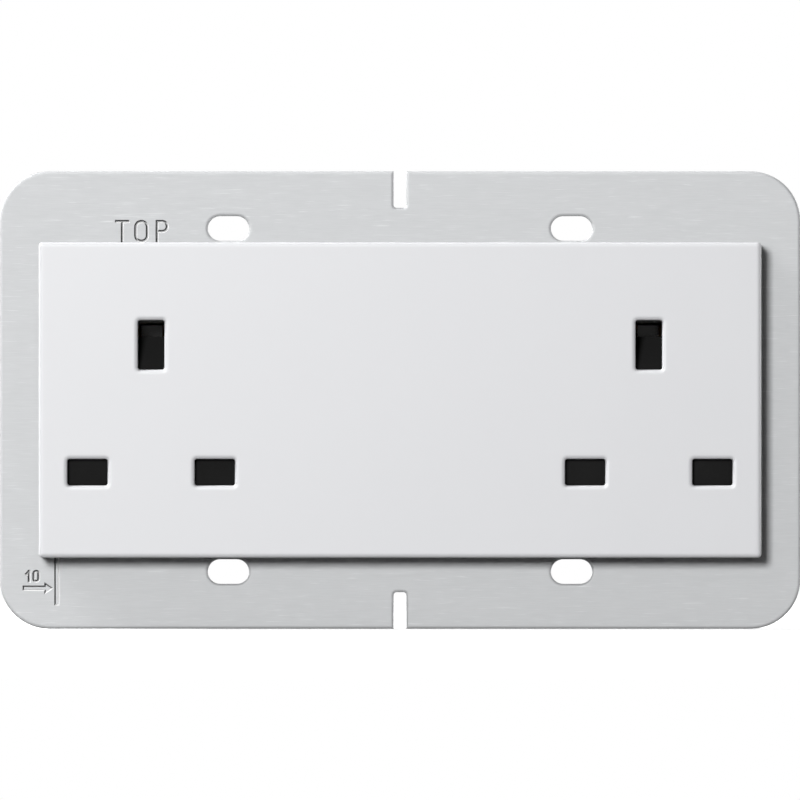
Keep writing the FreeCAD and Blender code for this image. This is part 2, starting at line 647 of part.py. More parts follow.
def flat_busbar(contact_x, rail_z, terminal):
    """A straight strip under two clips, with a tab that carries the terminal."""
    terminal_x, terminal_z, _ = TERMINALS[terminal]
    x0 = min(contact_x) - CONTACT_W / 2
    x1 = max(contact_x) + CONTACT_W / 2
    half_h = BUSBAR_H / 2
    strip = box(x0, x1, RAIL_FRONT_Y, RAIL_BACK_Y, rail_z - half_h, rail_z + half_h)
    direction = 1 if terminal_z > rail_z else -1
    low, high = sorted((rail_z, terminal_z + direction * SPIGOT_HEAD_R))
    tab = centred_box(terminal_x, (low + high) / 2, TAB_W / 2, (high - low) / 2, RAIL_FRONT_Y, RAIL_BACK_Y)
    holes = [rod_y(x, rail_z, RIVET_R + RIVET_GAP, RAIL_FRONT_Y, RAIL_BACK_Y) for x in contact_x]
    holes.append(rod_y(terminal_x, terminal_z, SPIGOT_R + RIVET_GAP, RAIL_FRONT_Y, RAIL_BACK_Y))
    return carve(join([strip, tab]), holes)


def earth_busbar():
    """A strip joggled back to the earth clips at its ends, with a tab up to the mounting plate."""
    end_y = EARTH_END_FRONT_Y + BUSBAR_T / 2
    middle_y = RAIL_FRONT_Y + BUSBAR_T / 2
    right = [(JOGGLE_IN_X, middle_y), (JOGGLE_OUT_X, end_y), (EARTH_END_X, end_y)]
    left = [(-x, y) for x, y in right[::-1]]
    half_h = EARTH_BUSBAR_H / 2
    strip = prism_z(folded_strip(left + right, BUSBAR_T), EARTH_Z - half_h, EARTH_Z + half_h)
    tab_path = [
        (middle_y, EARTH_Z),
        (middle_y, BOND_RISE_Z),
        (BUSBAR_T / 2, BOND_RISE_Z),
        (BUSBAR_T / 2, BOND_RIVET_Z + BOND_TAB_END),
    ]
    tab = prism_x(folded_strip(tab_path, BUSBAR_T), -BOND_TAB_W / 2, BOND_TAB_W / 2)
    holes = [rod_y(0, BOND_RIVET_Z, BOND_RIVET_R + RIVET_GAP, 0, BUSBAR_T)]
    for sign in SIDES.values():
        terminal_x = sign * EARTH_TERMINAL_X
        contact_x = sign * SOCKET_X
        holes.append(rod_y(terminal_x, EARTH_Z, SPIGOT_R + RIVET_GAP, RAIL_FRONT_Y, RAIL_BACK_Y))
        holes.append(rod_y(contact_x, EARTH_Z, RIVET_R + RIVET_GAP, EARTH_END_FRONT_Y, EARTH_END_BACK_Y))
    return carve(join([strip, tab]), holes)


def rivet(x, z, radius, head_r, y0, y1):
    """A rivet through the stack from y0 to y1, with a head on each side."""
    return join(
        [
            rod_y(x, z, radius, y0, y1),
            rod_y(x, z, head_r, y0 - RIVET_HEAD_T, y0),
            rod_y(x, z, head_r, y1, y1 + RIVET_HEAD_T),
        ]
    )


def rivet_places():
    """Each contact rivet's x and z, with the front and back of the two thicknesses that it joins."""
    places = []
    for side, sign in SIDES.items():
        places.append((NEUTRAL_X[side], NEUTRAL_RAIL_Z, LINE_WEB_Y, RAIL_BACK_Y))
        places.append((LIVE_X[side], LIVE_RAIL_Z, LINE_WEB_Y, RAIL_BACK_Y))
        places.append((sign * SOCKET_X, EARTH_Z, EARTH_WEB_Y, EARTH_END_BACK_Y))
    return places


def contact_rivets():
    return [rivet(x, z, RIVET_R, RIVET_HEAD_R, y0, y1) for x, z, y0, y1 in rivet_places()]


def earth_bond_rivet():
    return rivet(0, BOND_RIVET_Z, BOND_RIVET_R, BOND_HEAD_R, PLATE_FRONT_Y, BUSBAR_T)


# Terminals
def terminal(x, z):
    """A brass pillar: a wire hole up through it, a screw hole from the back and a spigot staked to the busbar."""
    block = centred_box(x, z, TERMINAL_W / 2, TERMINAL_H / 2, RAIL_BACK_Y, TERMINAL_BACK_Y)
    block = block.makeChamfer(TERMINAL_CHAMFER, block.Edges)
    spigot = rod_y(x, z, SPIGOT_R, RAIL_FRONT_Y - RIVET_HEAD_T, RAIL_BACK_Y + TERMINAL_CHAMFER)
    head = rod_y(x, z, SPIGOT_HEAD_R, RAIL_FRONT_Y - RIVET_HEAD_T, RAIL_FRONT_Y)
    wire_hole = rod_z(x, WIRE_Y, WIRE_BORE_R, z - TERMINAL_H / 2, z + TERMINAL_H / 2)
    screw_hole = rod_y(x, z, TERMINAL_SCREW_R + TERMINAL_SCREW_GAP, WIRE_Y, TERMINAL_BACK_Y)
    return carve(join([block, spigot, head]), [wire_hole, screw_hole])


def terminal_screw(x, z):
    """A headless slotted screw, backed out so that the wire hole is clear."""
    rod = rod_y(x, z, TERMINAL_SCREW_R, SCREW_TIP_Y, SCREW_BACK_Y)
    rims = [edge for edge in rod.Edges if isinstance(edge.Curve, Part.Circle)]
    rod = rod.makeChamfer(TERMINAL_CHAMFER, rims)
    slot_y0 = SCREW_BACK_Y - TERMINAL_SLOT_DEPTH
    slot = centred_box(x, z, TERMINAL_SCREW_R, TERMINAL_SLOT_W / 2, slot_y0, SCREW_BACK_Y)
    return carve(rod, [slot])


# Rear housing
def peg_x():
    return SOCKET_X - WELL_HALF - HOUSING_WALL - CORE_W - PEG_ROOM


def peg_z():
    return (LIVE_RAIL_Z + CHANNEL_HALF + EARTH_Z - EARTH_CHANNEL_HALF) / 2


def housing_blocks():
    """The outside of the housing: box, earth ridges, terminal towers and corner ears."""
    body = rounded_box(BODY_HALF_W, BODY_HALF_H, INNER_BACK_Y, FLOOR_BACK_Y, HOUSING_CORNER_R)
    back_edges = [edge for edge in body.Edges if edge.BoundBox.YMin > FLOOR_BACK_Y - FLOOR_T / 2]
    blocks = [body.makeFillet(HOUSING_EDGE_R, back_edges)]
    ridge_in = RIDGE_IN_X - HOUSING_WALL
    ridge_out = SOCKET_X + WELL_HALF + HOUSING_WALL
    ridge_half = EARTH_WELL_HALF_H + HOUSING_WALL
    for sign in SIDES.values():
        x0, x1 = sorted((sign * ridge_in, sign * ridge_out))
        ridge = box(x0, x1, 0, RIDGE_BACK_Y, EARTH_Z - ridge_half, EARTH_Z + ridge_half)
        back_edges = [edge for edge in ridge.Edges if edge.BoundBox.YMax > RIDGE_BACK_Y - FLOOR_T]
        blocks.append(ridge.makeFillet(HOUSING_EDGE_R, back_edges))
    for x, z, wire_side in TERMINALS.values():
        half_w = CHAMBER_HALF_W + TOWER_WALL
        low, high = sorted((z - wire_side * (CHAMBER_HALF_H + TOWER_WALL), wire_side * BODY_HALF_H))
        tower = box(x - half_w, x + half_w, 0, TOWER_BACK_Y, low, high)
        upright_edges = [edge for edge in tower.Edges if edge.BoundBox.YLength > TOWER_BACK_Y / 2]
        blocks.append(tower.makeFillet(TOWER_EDGE_R, upright_edges))
    for x, z in corners(BOSS_X, BOSS_Z):
        blocks.append(rod_y(x, z, EAR_R, 0, EAR_T))
        x0, x1 = sorted((x - math.copysign(EAR_R, x), math.copysign(BODY_HALF_W, x)))
        z0, z1 = sorted((math.copysign(BODY_HALF_H - EAR_OVERLAP, z), z))
        blocks.append(box(x0, x1, 0, EAR_T, z0, z1))
    return blocks


def contact_pockets():
    """Wells and channels, open to the front, that the clips and busbars drop into."""
    front = INNER_BACK_Y
    pockets = []
    half_w = CONTACT_W / 2 + WELL_GAP
    rails = [(NEUTRAL_X, NEUTRAL_RAIL_Z, -1), (LIVE_X, LIVE_RAIL_Z, 1)]
    for contact_x, rail_z, direction in rails:
        for x in contact_x.values():
            near_z = LINE_Z - direction * WELL_HALF
            far_z = rail_z + direction * CHANNEL_HALF
            low, high = sorted((near_z, far_z))
            pockets.append(box(x - half_w, x + half_w, front, RAIL_BACK_Y, low, high))
        x0 = min(contact_x.values()) - half_w
        x1 = max(contact_x.values()) + half_w
        pockets.append(box(x0, x1, front, RAIL_BACK_Y, rail_z - CHANNEL_HALF, rail_z + CHANNEL_HALF))
    for sign in SIDES.values():
        x = sign * SOCKET_X
        pockets.append(centred_box(x, EARTH_Z, WELL_HALF, EARTH_WELL_HALF_H, front, EARTH_END_BACK_Y))
        x0, x1 = sorted((sign * RIDGE_IN_X, sign * (EARTH_END_X + WELL_GAP)))
        low = EARTH_Z - EARTH_CHANNEL_HALF
        high = EARTH_Z + EARTH_CHANNEL_HALF
        pockets.append(box(x0, x1, front, EARTH_END_BACK_Y, low, high))
    pockets.append(box(-JOGGLE_OUT_X, JOGGLE_OUT_X, front, RAIL_BACK_Y, low, high))
    for x, z, _, back in rivet_places():
        pockets.append(rod_y(x, z, RIVET_PIT_R, back, back + RIVET_PIT_DEPTH))
    return pockets


def bond_pockets():
    """Room for the earth tab, and the gap in the top wall where it leaves for the plate."""
    half_w = BOND_TAB_W / 2 + CHANNEL_GAP
    inside = box(-half_w, half_w, INNER_BACK_Y, RAIL_BACK_Y, EARTH_Z, BODY_HALF_H - HOUSING_WALL)
    way_out = box(-half_w, half_w, INNER_BACK_Y, BUSBAR_T + CHANNEL_GAP, EARTH_Z, BODY_HALF_H)
    return [inside, way_out]


def terminal_pockets():
    """Chambers open to the back for the pillars, with a trough for each wire and room for the busbar tabs."""
    pockets = []
    rails = {"neutral_terminal": NEUTRAL_RAIL_Z, "line_terminal": LIVE_RAIL_Z}
    for name, (x, z, wire_side) in TERMINALS.items():
        pockets.append(centred_box(x, z, CHAMBER_HALF_W, CHAMBER_HALF_H, RAIL_FRONT_Y, TOWER_BACK_Y))
        low, high = sorted((z, wire_side * BODY_HALF_H))
        trough = box(x - TROUGH_HALF_W, x + TROUGH_HALF_W, TROUGH_FLOOR_Y, TOWER_BACK_Y, low, high)
        pockets.append(trough)
        if name in rails:
            direction = 1 if z > rails[name] else -1
            low, high = sorted((rails[name], z + direction * (SPIGOT_HEAD_R + CHANNEL_GAP)))
            half_w = TAB_W / 2 + CHANNEL_GAP
            pockets.append(box(x - half_w, x + half_w, INNER_BACK_Y, RAIL_BACK_Y, low, high))
    return pockets


def coring_pockets():
    """Hollows that keep the moulding's walls thin, left and right of each earth well and in the middle."""
    lower = (LIVE_RAIL_Z + CHANNEL_HALF + HOUSING_WALL, EARTH_Z - EARTH_WELL_HALF_H - HOUSING_WALL)
    upper = (EARTH_Z + CHAMBER_HALF_H + HOUSING_WALL, BODY_HALF_H - HOUSING_WALL)
    outer_x = (SOCKET_X + WELL_HALF + HOUSING_WALL, BODY_HALF_W - HOUSING_WALL)
    inner_x = (peg_x() + PEG_ROOM, SOCKET_X - WELL_HALF - HOUSING_WALL)
    middle_x = (BOND_TAB_W / 2 + CHANNEL_GAP + HOUSING_WALL, peg_x() - PEG_ROOM)
    pockets = []
    for sign in SIDES.values():
        for near_x, far_x in (outer_x, inner_x, middle_x):
            x0, x1 = sorted((sign * near_x, sign * far_x))
            for low, high in (lower, upper):
                pockets.append(box(x0, x1, INNER_BACK_Y, RAIL_BACK_Y, low, high))
        pockets.append(rod_y(sign * peg_x(), peg_z(), PEG_R + PEG_GAP, INNER_BACK_Y, INNER_BACK_Y + PEG_L))
    return pockets


def pole_marks():
    """N, L and the earth sign, engraved beside the terminals to be read from behind, in half widths and heights."""
    half_w = POLE_MARK_W / 2
    half_h = POLE_MARK_H / 2
    letter_n = [(1, -1, 1, 1), (1, 1, -1, -1), (-1, -1, -1, 1)]
    letter_l = [(1, 1, 1, -1), (1, -1, -1, -1)]
    earth = [(0, 1, 0, 0), (1, 0, -1, 0), (0.6, -0.5, -0.6, -0.5), (0.25, -1, -0.25, -1)]
    side_x = LINE_TERMINAL_X + CHAMBER_HALF_W + TOWER_WALL + POLE_MARK_GAP + half_w
    earth_mark_z = EARTH_Z - CHAMBER_HALF_H - TOWER_WALL - POLE_MARK_GAP - half_h
    signs = [
        (-side_x, LINE_Z - TERMINAL_SHIFT, letter_n),
        (side_x, LINE_Z + TERMINAL_SHIFT, letter_l),
        (0, earth_mark_z, earth),
    ]
    marks = []
    for x, z, strokes in signs:
        for a0, b0, a1, b1 in strokes:
            start = (x + a0 * half_w, z + b0 * half_h)
            end = (x + a1 * half_w, z + b1 * half_h)
            outline = folded_strip([start, end], POLE_MARK_STROKE)
            marks.append(prism_y(outline, FLOOR_BACK_Y - POLE_MARK_DEPTH, FLOOR_BACK_Y))
    return marks


def rear_housing():
    pockets = contact_pockets() + bond_pockets() + terminal_pockets() + coring_pockets() + pole_marks()
    for x, z in corners(BOSS_X, BOSS_Z):
        pockets.append(rod_y(x, z, SCREW_R + SCREW_GAP, 0, EAR_T))
    return carve(join(housing_blocks()), pockets)


# Housing screws
def housing_screw(x, z):
    """A pan-head screw from the back, with a cross recess."""
    shank = rod_y(x, z, SCREW_R, EAR_T - SCREW_L, EAR_T)
    head_back_y = EAR_T + SCREW_HEAD_T
    head = rod_y(x, z, SCREW_HEAD_R, EAR_T, head_back_y)
    rim = [edge for edge in head.Edges if edge.BoundBox.YMin > EAR_T + SCREW_HEAD_T / 2]
    head = head.makeFillet(SCREW_HEAD_T / 2, rim)
    recess_y = head_back_y - CROSS_DEPTH
    across = centred_box(x, z, CROSS_L / 2, CROSS_W / 2, recess_y, head_back_y)
    upright = centred_box(x, z, CROSS_W / 2, CROSS_L / 2, recess_y, head_back_y)
    return carve(join([shank, head]), [across, upright])


def build_nodes():
    """Every node's name with its solids."""
    nodes = {
        "mounting_plate": [mounting_plate()],
        "front_cover": [front_cover()],
        "inner_plate": [inner_plate()],
        "rear_housing": [rear_housing()],
        "neutral_busbar": [flat_busbar(NEUTRAL_X.values(), NEUTRAL_RAIL_Z, "neutral_terminal")],
        "line_busbar": [flat_busbar(LIVE_X.values(), LIVE_RAIL_Z, "line_terminal")],
        "earth_busbar": [earth_busbar()],
        "contact_rivets": contact_rivets(),
        "earth_bond_rivet": [earth_bond_rivet()],
        "housing_screws": [housing_screw(x, z) for x, z in corners(BOSS_X, BOSS_Z)],
    }
    for side, sign in SIDES.items():
        nodes["shutter_" + side] = [shutter(sign * SOCKET_X)]
        nodes["shutter_spring_" + side] = [shutter_spring(sign * SOCKET_X)]
        nodes["neutral_contact_" + side] = [flat_contact(NEUTRAL_X[side], NEUTRAL_RAIL_Z)]
        nodes["line_contact_" + side] = [flat_contact(LIVE_X[side], LIVE_RAIL_Z)]
        nodes["earth_contact_" + side] = [earth_contact(sign * SOCKET_X)]
    for name, (x, z, _) in TERMINALS.items():
        nodes[name] = [terminal(x, z)]
        nodes[name.replace("terminal", "terminal_screw")] = [terminal_screw(x, z)]
    return nodes


def main():
    os.makedirs("parts", exist_ok=True)
    for name, solids in build_nodes().items():
        shape = solids[0] if len(solids) == 1 else Part.makeCompound(solids)
        shape.exportStep(os.path.join("parts", name + ".step"))
        print(name, "solids", len(shape.Solids), "valid", shape.isValid(), "mm3", round(shape.Volume, 1))


if __name__ == "__main__":
    main()
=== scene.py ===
# %% [markdown]
# This lesson dresses a twin wall socket: a white moulded cover that stands on a brushed steel plate,
# with black shutters behind its pin holes and brass parts in a grey housing at the back.
# The shapes were worked out beforehand as solids, so Blender only loads them. It could model them
# again by eye, but then nothing would fit, and a plug's pins have to fit.
# Every measure here is in metres, because that is Blender's own unit.

# %% Load the parts
import json
import math

import bpy
import numpy as np
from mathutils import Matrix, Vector


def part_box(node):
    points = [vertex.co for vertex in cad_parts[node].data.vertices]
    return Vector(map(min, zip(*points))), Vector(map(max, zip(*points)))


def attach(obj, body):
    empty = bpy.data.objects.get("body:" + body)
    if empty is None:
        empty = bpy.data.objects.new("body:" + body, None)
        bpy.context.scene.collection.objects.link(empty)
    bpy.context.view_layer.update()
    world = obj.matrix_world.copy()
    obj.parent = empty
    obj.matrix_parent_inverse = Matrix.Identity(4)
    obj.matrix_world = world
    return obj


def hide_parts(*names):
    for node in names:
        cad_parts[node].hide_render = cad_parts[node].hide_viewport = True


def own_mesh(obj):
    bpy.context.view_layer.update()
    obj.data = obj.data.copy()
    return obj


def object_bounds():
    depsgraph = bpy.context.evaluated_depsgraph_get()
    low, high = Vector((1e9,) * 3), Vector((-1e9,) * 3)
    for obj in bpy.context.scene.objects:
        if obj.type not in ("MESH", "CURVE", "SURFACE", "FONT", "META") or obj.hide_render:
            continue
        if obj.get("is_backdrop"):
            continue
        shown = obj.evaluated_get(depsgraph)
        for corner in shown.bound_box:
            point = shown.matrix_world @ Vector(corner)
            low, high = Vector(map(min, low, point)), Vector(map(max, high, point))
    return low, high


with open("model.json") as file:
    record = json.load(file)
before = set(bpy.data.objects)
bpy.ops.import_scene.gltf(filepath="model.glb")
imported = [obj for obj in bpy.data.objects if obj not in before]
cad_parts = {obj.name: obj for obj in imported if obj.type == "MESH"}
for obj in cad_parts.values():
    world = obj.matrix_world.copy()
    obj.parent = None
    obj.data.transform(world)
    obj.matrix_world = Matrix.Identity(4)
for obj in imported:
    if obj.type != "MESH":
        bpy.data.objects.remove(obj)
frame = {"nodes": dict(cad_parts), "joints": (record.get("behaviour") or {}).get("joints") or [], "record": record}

MM = 0.001
nodes = frame["nodes"]
cad_low, cad_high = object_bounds()
print("loaded", len(nodes), "parts, size in mm", [round(side / MM, 2) for side in cad_high - cad_low])

# %% [markdown]
# The picture looks straight at the front, and its edges show no perspective at all. A parallel
# camera could do that, but a very long lens from far away does it too and still turns well to
# other views. The scale comes from the plug's pins, which stand 22.2 mm apart in every such socket.

# %% Camera
PICTURE_PIXELS = 800
PIXELS_PER_MM = 5.727
CAMERA_DISTANCE = 3.4
SENSOR = 36.0

face_y = (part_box("front_cover")[0].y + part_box("mounting_plate")[0].y) / 2
view_width = PICTURE_PIXELS / PIXELS_PER_MM * MM
lens = bpy.data.cameras.new("camera")
lens.sensor_width = SENSOR
lens.lens = SENSOR * CAMERA_DISTANCE / view_width
camera = bpy.data.objects.new("camera", lens)
camera.location = (0, face_y - CAMERA_DISTANCE, 0)
camera.rotation_euler = (math.radians(90), 0, 0)
bpy.context.scene.collection.objects.link(camera)
bpy.context.scene.camera = camera
bpy.context.scene.view_settings.view_transform = "Standard"
print("lens of", round(lens.lens), "mm sees", round(view_width / MM, 1), "mm across")

# %% [markdown]
# The background, the floor and the finishes are built from nodes. Writing each link by hand takes
# many lines, so a few short helpers come first: one feeds a node's inputs, one adds a node, two
# calculate with numbers or with vectors, and one turns a stretch of a value into a mask from 0 to 1.

# %% Node helpers
def feed(tree, node, inputs):
    """Feeds inputs by name or by place: links a node's output, or writes a number, colour or vector."""
    for socket, value in inputs.items():
        if isinstance(value, bpy.types.NodeSocket):
            tree.links.new(value, node.inputs[socket])
        else:
            node.inputs[socket].default_value = value


def add(tree, kind, inputs=None, **options):
    """One new node with its options set and its inputs fed."""
    node = tree.nodes.new(kind)
    for option, value in options.items():
        setattr(node, option, value)
    feed(tree, node, inputs or {})
    return node


def calculate(tree, operation, *values):
    """The result of an operation on numbers, such as MULTIPLY or MAXIMUM."""
    return add(tree, "ShaderNodeMath", dict(enumerate(values)), operation=operation).outputs[0]


def calculate_vector(tree, operation, *values):
    """The results of an operation on vectors: Vector, or Value where the result is a number."""
    return add(tree, "ShaderNodeVectorMath", dict(enumerate(values)), operation=operation).outputs


def mask_between(tree, value, start, end, top=1.0):
    """A mask that runs from 0 to the top as the value runs from start to end."""
    limits = {"From Min": start, "From Max": end, "To Max": top}
    return add(tree, "ShaderNodeMapRange", {"Value": value, **limits}).outputs["Result"]


print("node helpers ready")

# %% [markdown]
# The background is plain white. Lighting the whole world white would also fill every shadow, so the
# world has two strengths: rays from the camera, from gloss and through glass meet white, and the
# rays that light dull surfaces meet a dim grey.

# %% World
FILL_STRENGTH = 0.015
SEEN_STRENGTH = 1.0
WHITE = (1, 1, 1, 1)

world = bpy.data.worlds.new("studio")
bpy.context.scene.world = world
world.use_nodes = True
tree = world.node_tree
tree.nodes.clear()
ray = add(tree, "ShaderNodeLightPath").outputs
seen = calculate(tree, "MAXIMUM", ray["Is Camera Ray"], ray["Is Glossy Ray"])
shown = calculate(tree, "MAXIMUM", seen, ray["Is Transmission Ray"])
fill = add(tree, "ShaderNodeBackground", {"Strength": FILL_STRENGTH, "Color": WHITE}).outputs[0]
sight = add(tree, "ShaderNodeBackground", {"Strength": SEEN_STRENGTH, "Color": WHITE}).outputs[0]
chosen = add(tree, "ShaderNodeMixShader", {"Fac": shown, 1: fill, 2: sight}).outputs[0]
add(tree, "ShaderNodeOutputWorld", {"Surface": chosen})
print("world fills with", FILL_STRENGTH)

# %% [markdown]
# One soft box stands to the upper left, close to the camera's line. Its angle sets the narrow dark
# shadow at the right of the cover and below it, and its size sets how softly that shadow ends.
# A flat box skims the plate from the same corner and draws the white lines along the upper and left
# edges. It is long, so that the cover's second shadow is too soft to be seen. The white cover would
# throw much of that light back onto the plate, so dull surfaces are told not to see the cover.
# The last two boxes light the back, which the picture doesn't show.

# %% Lamps
def soft_box(name, place, width, length, watts):
    """An area lamp of the given sides, turned from its place to the middle of the socket."""
    lamp = bpy.data.lights.new(name, "AREA")
    lamp.shape = "RECTANGLE"
    lamp.size = width
    lamp.size_y = length
    lamp.energy = watts
    holder = bpy.data.objects.new(name, lamp)
    holder.location = place
    holder.rotation_euler = (-Vector(place)).to_track_quat("-Z", "Y").to_euler()
    holder.visible_camera = False
    bpy.context.scene.collection.objects.link(holder)
    return holder


lamps = [
    soft_box("key", (-0.348, -2.1, 0.348), width=0.36, length=0.36, watts=33),
    soft_box("edge", (-0.85, -0.09, 0.85), width=0.12, length=0.6, watts=18),
    soft_box("back_left", (-1.1, 1.6, 0.45), width=0.8, length=0.8, watts=30),
    soft_box("back_right", (1.4, 1.3, 0.3), width=0.8, length=0.8, watts=16),
]
nodes["front_cover"].visible_diffuse = False
print("lamps", [lamp.name for lamp in lamps])

# %% [markdown]
# The socket stands on a pale floor. A square would do, but a disc has no corners that could show, so
# it is worked out on a grid of rings and spokes. So pale a floor would light the plate from below, so
# dull surfaces are told not to see it either.

# %% Floor disc
FLOOR_RADIUS = 0.9
FLOOR_GAP = 0.2 * MM
FLOOR_RINGS = 24
FLOOR_SPOKES = 64


def disc_mesh(name, radius, height, rings, spokes):
    """A flat disc: points at radius r and angle a lie at (r cos a, r sin a), on evenly spaced rings."""
    steps = np.linspace(radius / rings, radius, rings)
    turns = np.arange(spokes) * 2 * np.pi / spokes
    reach, angle = np.meshgrid(steps, turns, indexing="ij")
    flat = np.full_like(reach, height)
    ring_points = np.stack([reach * np.cos(angle), reach * np.sin(angle), flat], axis=-1)
    points = np.vstack([[[0, 0, height]], ring_points.reshape(-1, 3)])
    index = 1 + np.arange(rings * spokes).reshape(rings, spokes)
    after = np.roll(index, -1, axis=1)
    quads = np.stack([index[:-1], index[1:], after[1:], after[:-1]], axis=-1).reshape(-1, 4)
    fan = np.stack([np.zeros(spokes, int), index[0], after[0]], axis=-1)
    mesh = bpy.data.meshes.new(name)
    mesh.from_pydata(points.tolist(), [], quads.tolist() + fan.tolist())
    return mesh


floor_mesh = disc_mesh("floor", FLOOR_RADIUS, cad_low.z - FLOOR_GAP, FLOOR_RINGS, FLOOR_SPOKES)
floor = bpy.data.objects.new("floor", floor_mesh)
bpy.context.scene.collection.objects.link(floor)
floor.visible_diffuse = False
floor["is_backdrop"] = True
print("floor at", round(floor_mesh.vertices[0].co.z / MM, 1), "mm")

# %% [markdown]
# The floor's paint glows a little for the camera, so that it reads as white as the background, and is
# otherwise a dull surface that takes the shadow. It fades out before the rim, and can't be seen from
# below, where it would hide the socket.

# %% Floor paint
FLOOR_GREY = (0.85, 0.85, 0.85, 1)
FLOOR_GLOW = 0.62
FADE_START = 0.25
FADE_END = 0.6

paint = bpy.data.materials.new("floor_paint")
paint.use_nodes = True
tree = paint.node_tree
tree.nodes.clear()
dull = add(tree, "ShaderNodeBsdfDiffuse", {"Color": FLOOR_GREY}).outputs[0]
ray = add(tree, "ShaderNodeLightPath").outputs
level = calculate(tree, "MULTIPLY", ray["Is Camera Ray"], FLOOR_GLOW)
glow = add(tree, "ShaderNodeEmission", {"Strength": level}).outputs[0]
lit = add(tree, "ShaderNodeAddShader", {0: dull, 1: glow}).outputs[0]
spot = add(tree, "ShaderNodeTexCoord").outputs["Object"]
from_middle = calculate_vector(tree, "LENGTH", spot)["Value"]
faded = mask_between(tree, from_middle, FADE_START, FADE_END)
below = add(tree, "ShaderNodeNewGeometry").outputs["Backfacing"]
gone = calculate(tree, "MAXIMUM", faded, below)
clear = add(tree, "ShaderNodeBsdfTransparent").outputs[0]
ground = add(tree, "ShaderNodeMixShader", {"Fac": gone, 1: lit, 2: clear}).outputs[0]
add(tree, "ShaderNodeOutputMaterial", {"Surface": ground})
floor_mesh.materials.append(paint)
print("floor fades out at", FADE_END, "m from the middle")

# %% [markdown]
# Every finish starts in the same way: one Principled shader, and the part's own coordinates, so that
# a pattern stays with the part when it moves. Masks then drive a colour between two tones, a value
# between two limits, or a fine relief. Two finishes also soften how an edge takes the light, without
# changing its shape.

# %% Finish helpers
BEVEL_SAMPLES = 8

finishes = {}


def start_finish(name):
    """Starts a material with one Principled shader and gives its tree, the shader and the coordinates."""
    material = bpy.data.materials.new(name)
    material.use_nodes = True
    finishes[name] = material
    tree = material.node_tree
    tree.nodes.clear()
    shader = add(tree, "ShaderNodeBsdfPrincipled")
    add(tree, "ShaderNodeOutputMaterial", {"Surface": shader.outputs["BSDF"]})
    place = add(tree, "ShaderNodeTexCoord").outputs["Object"]
    return tree, shader, place


def two_tones(tree, mask, first, second):
    """A colour that runs from the first to the second as the mask runs from 0 to 1."""
    ramp = add(tree, "ShaderNodeValToRGB", {"Fac": mask})
    for stop, tone in zip(ramp.color_ramp.elements, (first, second)):
        stop.color = (*tone, 1)
    return ramp.outputs["Color"]


def spread(tree, mask, first, second):
    """A value that runs from the first to the second as the mask runs from 0 to 1."""
    limits = {"To Min": first, "To Max": second}
    return add(tree, "ShaderNodeMapRange", {"Value": mask, **limits}).outputs["Result"]


def relief(tree, height, depth, normal=None):
    """Normals as if the surface rose by the depth where the height is 1, on top of any given normal."""
    bump = add(tree, "ShaderNodeBump", {"Height": height, "Distance": depth, "Strength": 1.0})
    if normal:
        feed(tree, bump, {"Normal": normal})
    return bump.outputs["Normal"]


def soft_edges(tree, radius):
    """Normals that turn from one face to the next within the given radius of their edge."""
    return add(tree, "ShaderNodeBevel", {"Radius": radius}, samples=BEVEL_SAMPLES).outputs["Normal"]


print("finish helpers ready")

# %% [markdown]
# Three effects come back on several finishes, so each is a node group with its own inputs: lines
# left by a brush or a roller, the grain and soft mottling of a moulding, and the stains on bare
# metal. A group puts out plain masks from 0 to 1, and each finish decides what to do with them.

# %% Shared effects
LINE_BAND = (0.3, 0.7)
SCRATCH_BAND = (0.66, 0.76)
SCRATCH_SHIFT = (31.7, 17.3, 23.9)
MOTTLE_RATIO = 60.0
STAIN_BAND = (0.42, 0.72)
SPECKLE_RATIO = 10.0


def start_group(name, inputs, outputs):
    """A node group with a vector input, the named number inputs and the named number outputs."""
    group = bpy.data.node_groups.new(name, "ShaderNodeTree")
    group.interface.new_socket("Vector", in_out="INPUT", socket_type="NodeSocketVector")
    for socket, value in inputs.items():
        made = group.interface.new_socket(socket, in_out="INPUT", socket_type="NodeSocketFloat")
        made.default_value = value
    for socket in outputs:
        group.interface.new_socket(socket, in_out="OUTPUT", socket_type="NodeSocketFloat")
    given = group.nodes.new("NodeGroupInput").outputs
    result = group.nodes.new("NodeGroupOutput")
    return group, given, result


def noise(tree, place, scale, detail):
    """A random mask: the scale sets how many waves fill a unit, and the detail adds finer ones."""
    inputs = {"Vector": place, "Scale": scale, "Detail": detail}
    return add(tree, "ShaderNodeTexNoise", inputs).outputs["Fac"]


def brushed_lines():
    """Streaks along X: the place is divided by a long length in X and by a small width in Y and Z."""
    sizes = {"Length": 10 * MM, "Width": 0.1 * MM}
    group, given, result = start_group("brushed_lines", sizes, ["Lines", "Scratches"])
    streak = {"X": given["Length"], "Y": given["Width"], "Z": given["Width"]}
    streak_size = add(group, "ShaderNodeCombineXYZ", streak).outputs[0]
    place = calculate_vector(group, "DIVIDE", given["Vector"], streak_size)["Vector"]
    aside = calculate_vector(group, "ADD", place, SCRATCH_SHIFT)["Vector"]
    lines = mask_between(group, noise(group, place, scale=1.0, detail=3.0), *LINE_BAND)
    scratches = mask_between(group, noise(group, aside, scale=0.8, detail=1.0), *SCRATCH_BAND)
    feed(group, result, {"Lines": lines, "Scratches": scratches})
    return group


def moulded_grain():
    """Grain of the given size, and a mottling that is larger by the mottle ratio."""
    group, given, result = start_group("moulded_grain", {"Size": 0.3 * MM}, ["Grain", "Mottle"])
    scale = calculate(group, "DIVIDE", 1.0, given["Size"])
    coarse = calculate(group, "DIVIDE", scale, MOTTLE_RATIO)
    grain = noise(group, given["Vector"], scale, detail=2.0)
    mottle = noise(group, given["Vector"], coarse, detail=3.0)
    feed(group, result, {"Grain": grain, "Mottle": mottle})
    return group


